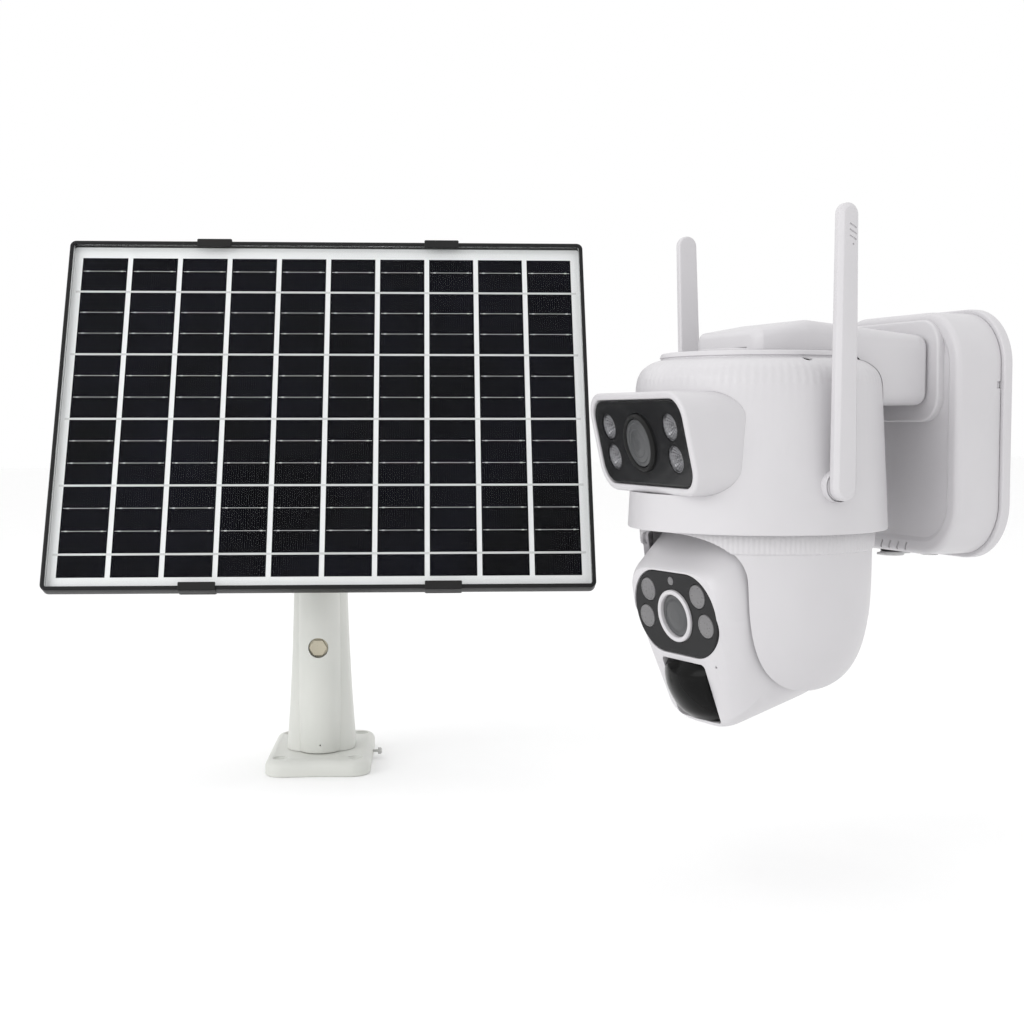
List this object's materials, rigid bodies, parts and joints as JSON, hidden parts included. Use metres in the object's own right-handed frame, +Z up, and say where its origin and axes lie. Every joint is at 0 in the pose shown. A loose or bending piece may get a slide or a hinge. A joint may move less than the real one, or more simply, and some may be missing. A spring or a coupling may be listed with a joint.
{
  "type": "solar-powered security camera",
  "caption": "Wall-hung two-lens pan and tilt security camera with side antennas and a battery box, and a solar panel on its own swivelling stand.",
  "frame": {"origin": "centre of the wall plate's back face, which lies on the wall", "axes": "+Y into the wall, +X to the side, +Z up; the camera looks along -Y"},
  "size_m": [0.4012, 0.3882, 0.3078],
  "materials": {
    "white_plastic": "white moulded ABS with a fine satin skin",
    "stand_plastic": "off-white moulded ABS, slightly warm grey",
    "black_gloss": "polished smoked acrylic",
    "black_plastic": "black moulded plastic with a fine grain",
    "frame_metal": "black anodised aluminium",
    "lens_glass": "coated lens glass",
    "panel_glass": "patterned low-iron solar glass",
    "solar_cells": "monocrystalline cells with silver ribbons on a white sheet",
    "reflector": "metallised plastic reflector",
    "steel": "plain zinc-plated or brushed steel",
    "milky_lens": "frosted grey diffuser",
    "circuit_board": "green solder mask",
    "rubber": "soft light grey rubber",
    "cell_wrap": "blue heat-shrink film"
  },
  "bodies": {
    "wall_unit": {"wall_plate": "white_plastic", "box_shell": "white_plastic", "arm_shell": "white_plastic", "neck_ring": "white_plastic", "body_shell": "white_plastic", "skirt_ring": "white_plastic", "body_floor": "white_plastic", "gun_housing": "white_plastic", "stand_base": "stand_plastic", "stand_column": "stand_plastic", "gun_face_panel": "black_gloss", "gun_lens_ring": "black_plastic", "charge_socket": "black_plastic", "gun_lens_glass": "lens_glass", "gun_led_1": "reflector", "gun_led_2": "reflector", "gun_led_3": "reflector", "gun_led_4": "reflector", "box_screw_left": "steel", "box_screw_right": "steel", "pan_motor": "steel", "base_side_screw": "steel", "clamp_bolt": "steel", "main_board": "circuit_board", "battery_pack": "cell_wrap"},
    "pan_head": {"turntable": "white_plastic", "yoke_bowl": "white_plastic", "cheek_plate_left": "white_plastic", "cheek_plate_right": "white_plastic"},
    "tilt_ball": {"ball_front_shell": "white_plastic", "ball_rear_shell": "white_plastic", "ball_face_panel": "black_gloss", "ball_lens_ring": "white_plastic", "ball_lens_glass": "lens_glass", "ball_led_1": "milky_lens", "ball_led_2": "milky_lens", "ball_led_3": "milky_lens", "ball_led_4": "milky_lens", "pir_dome": "black_gloss", "ball_board": "circuit_board", "tilt_motor": "steel", "tilt_axle_left": "steel", "tilt_axle_right": "steel"},
    "antenna_left": {"antenna_left": "white_plastic"},
    "antenna_right": {"antenna_right": "white_plastic"},
    "power_button": {"power_button": "black_plastic"},
    "socket_cover": {"socket_cover": "rubber"},
    "swivel_post": {"swivel_post": "stand_plastic"},
    "solar_panel": {"panel_frame": "frame_metal", "panel_glass": "panel_glass", "cell_sheet": "solar_cells", "panel_rail": "frame_metal", "panel_bracket": "frame_metal", "tilt_bolt": "steel", "junction_box": "black_plastic", "cable_gland": "black_plastic", "clip_top_left": "black_plastic", "clip_top_right": "black_plastic", "clip_bottom_left": "black_plastic", "clip_bottom_right": "black_plastic"}
  },
  "joints": [
    {"name": "head_pan", "type": "hinge", "parent": "wall_unit", "child": "pan_head", "pos_m": [0, -0.1016, -0.029], "axis": [0, 0, 1], "range_deg": [-184.5, 170.5]},
    {"name": "ball_tilt", "type": "hinge", "parent": "pan_head", "child": "tilt_ball", "pos_m": [0.00061, -0.10656, -0.079], "axis": [0.9925, 0.1219, 0], "range_deg": [-30, 50]},
    {"name": "antenna_left_turn", "type": "hinge", "parent": "wall_unit", "child": "antenna_left", "pos_m": [-0.0606, -0.0993, -0.021], "axis": [1, 0, 0], "range_deg": [-50, 88]},
    {"name": "antenna_right_turn", "type": "hinge", "parent": "wall_unit", "child": "antenna_right", "pos_m": [0.0606, -0.0993, -0.021], "axis": [1, 0, 0], "range_deg": [-50, 90]},
    {"name": "power_press", "type": "slide", "parent": "wall_unit", "child": "power_button", "axis": [0, 0, 1], "range_m": [0, 0.0008], "stiffness_N_per_m": 400, "springref_m": -0.001},
    {"name": "socket_cover_fold", "type": "hinge", "parent": "wall_unit", "child": "socket_cover", "pos_m": [-0.014, -0.007, -0.0573], "axis": [1, 0, 0], "range_deg": [0, 110]},
    {"name": "post_swivel", "type": "hinge", "parent": "wall_unit", "child": "swivel_post", "pos_m": [-0.2806, -0.2253, -0.05], "axis": [0, 0, 1], "range_deg": [-175, 175]},
    {"name": "panel_tilt", "type": "hinge", "parent": "swivel_post", "child": "solar_panel", "pos_m": [-0.2806, -0.2253, -0.0051], "axis": [0.342, 0.9397, 0], "range_deg": [-62, 20]}
  ]
}
